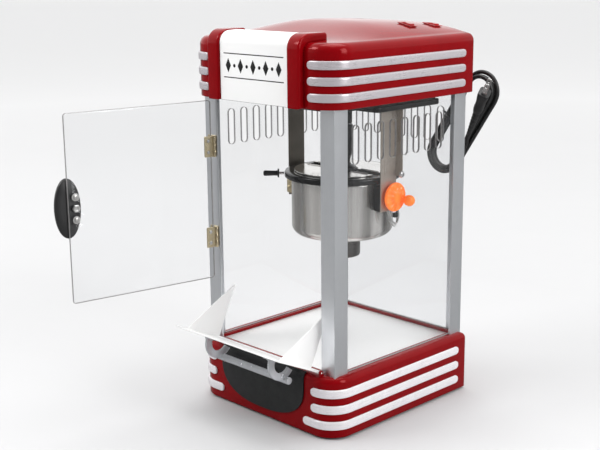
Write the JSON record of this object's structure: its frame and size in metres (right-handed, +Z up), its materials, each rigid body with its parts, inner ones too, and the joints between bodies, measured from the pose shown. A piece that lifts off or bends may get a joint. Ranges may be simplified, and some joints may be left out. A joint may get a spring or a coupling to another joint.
{
  "type": "popcorn maker",
  "caption": "Table-top popcorn maker: red domed hood and base, clear cabinet with slotted windows, open hinged door, let-down serving tray and a tipping kettle with a stirrer.",
  "frame": {"origin": "centre of the flat pressed field of the bottom pan, between the feet; the feet reach 2.5 mm below it", "axes": "+Z up, the door and tray side faces -Y, +X to the right of someone facing the front"},
  "size_m": [0.2675, 0.5036, 0.4793],
  "materials": {
    "red_enamel": "high gloss",
    "silver_strip": "fine brushed, bright edges",
    "white_sheet": "semi-gloss",
    "charcoal_plaque": "satin",
    "charcoal_pan": "satin",
    "black_sheet": "semi-gloss",
    "black_enamel": "gloss",
    "black_plastic": "fine grain",
    "satin_aluminium": "satin",
    "clear_plastic": "clear",
    "frosted_plastic": "translucent",
    "amber_plastic": "translucent",
    "lamp_lens": "diffusing",
    "switch_red": "gloss",
    "polished_steel": "polished",
    "steel_strap": "satin",
    "motor_steel": "dull",
    "brass_hinge": "polished, aged",
    "cord_rubber": "satin",
    "plug_rubber": "satin",
    "foot_rubber": "matte"
  },
  "bodies": {
    "cabinet": {"base_shell": "red_enamel", "hood_shell": "red_enamel", "bottom_pan": "charcoal_pan", "cabinet_floor": "white_sheet", "sign_panel": "white_sheet", "base_plaque": "charcoal_plaque", "hood_pan": "black_sheet", "gear_motor": "motor_steel", "lamp_lens": "lamp_lens", "window_left": "clear_plastic", "window_right": "clear_plastic", "window_rear": "clear_plastic", "hanger_left": "steel_strap", "hanger_right": "steel_strap", "strain_relief": "cord_rubber", "cord_lead": "cord_rubber", "cord_hank": "cord_rubber", "mains_plug": "plug_rubber", "base_strip_left_1": "silver_strip", "base_strip_left_2": "silver_strip", "base_strip_left_3": "silver_strip", "base_strip_right_1": "silver_strip", "base_strip_right_2": "silver_strip", "base_strip_right_3": "silver_strip", "hood_strip_left_1": "silver_strip", "hood_strip_left_2": "silver_strip", "hood_strip_left_3": "silver_strip", "hood_strip_right_1": "silver_strip", "hood_strip_right_2": "silver_strip", "hood_strip_right_3": "silver_strip", "foot_front_left": "foot_rubber", "post_front_left": "satin_aluminium", "foot_front_right": "foot_rubber", "post_front_right": "satin_aluminium", "foot_rear_left": "foot_rubber", "post_rear_left": "satin_aluminium", "foot_rear_right": "foot_rubber", "post_rear_right": "satin_aluminium", "hinge_post_leaf_1": "brass_hinge", "switch_bezel_1": "switch_red", "hinge_post_leaf_2": "brass_hinge", "switch_bezel_2": "switch_red"},
    "door": {"door_panel": "clear_plastic", "door_handle": "black_plastic", "hinge_door_leaf_1": "brass_hinge", "hinge_door_leaf_2": "brass_hinge"},
    "tray": {"tray_flap": "white_sheet", "tray_handle": "frosted_plastic"},
    "kettle": {"kettle_pot": "polished_steel", "kettle_collar": "black_enamel", "kettle_socket": "black_plastic", "kettle_handle": "black_plastic", "heater_housing": "steel_strap", "tilt_knob": "amber_plastic"},
    "front_lid": {"lid_front": "polished_steel"},
    "rear_lid": {"lid_rear": "polished_steel"},
    "stir_rod": {"stirrer": "polished_steel"},
    "drive": {"drive_coupling": "black_plastic"},
    "front_switch": {"switch_rocker_1": "switch_red"},
    "rear_switch": {"switch_rocker_2": "switch_red"}
  },
  "joints": [
    {"name": "door_hinge", "type": "hinge", "parent": "cabinet", "child": "door", "pos_m": [-0.0915, -0.116, 0.2675], "axis": [0, 0, 1], "range_deg": [-40, 99.5]},
    {"name": "tray_hinge", "type": "hinge", "parent": "cabinet", "child": "tray", "pos_m": [0, -0.1195, 0.078], "axis": [-1, 0, 0], "range_deg": [0, 65]},
    {"name": "kettle_tilt", "type": "hinge", "parent": "cabinet", "child": "kettle", "pos_m": [0, 0.017, 0.268], "axis": [1, 0, 0], "range_deg": [0, 110]},
    {"name": "lid_front_hinge", "type": "hinge", "parent": "kettle", "child": "front_lid", "pos_m": [0, 0.0072, 0.2908], "axis": [-1, 0, 0], "range_deg": [0, 75]},
    {"name": "lid_rear_hinge", "type": "hinge", "parent": "kettle", "child": "rear_lid", "pos_m": [0, 0.0268, 0.2908], "axis": [1, 0, 0], "range_deg": [0, 75]},
    {"name": "drive_spin", "type": "hinge", "parent": "cabinet", "child": "drive", "pos_m": [0, 0.017, 0.37], "axis": [0, 0, 1], "continuous": true},
    {"name": "stirrer_spin", "type": "hinge", "parent": "kettle", "child": "stir_rod", "pos_m": [0, 0.017, 0.3], "axis": [0, 0, 1], "continuous": true},
    {"name": "front_switch_tip", "type": "hinge", "parent": "cabinet", "child": "front_switch", "pos_m": [0.078, 0.048, 0.47078], "axis": [-0.0065, 0.9995, -0.0302], "range_deg": [0, 16]},
    {"name": "rear_switch_tip", "type": "hinge", "parent": "cabinet", "child": "rear_switch", "pos_m": [0.078, 0.095, 0.46849], "axis": [-0.0108, 0.9979, -0.0641], "range_deg": [0, 16]}
  ],
  "couplings": [
    {"joint": "stirrer_spin", "follows": "drive_spin", "ratio": 1}
  ]
}
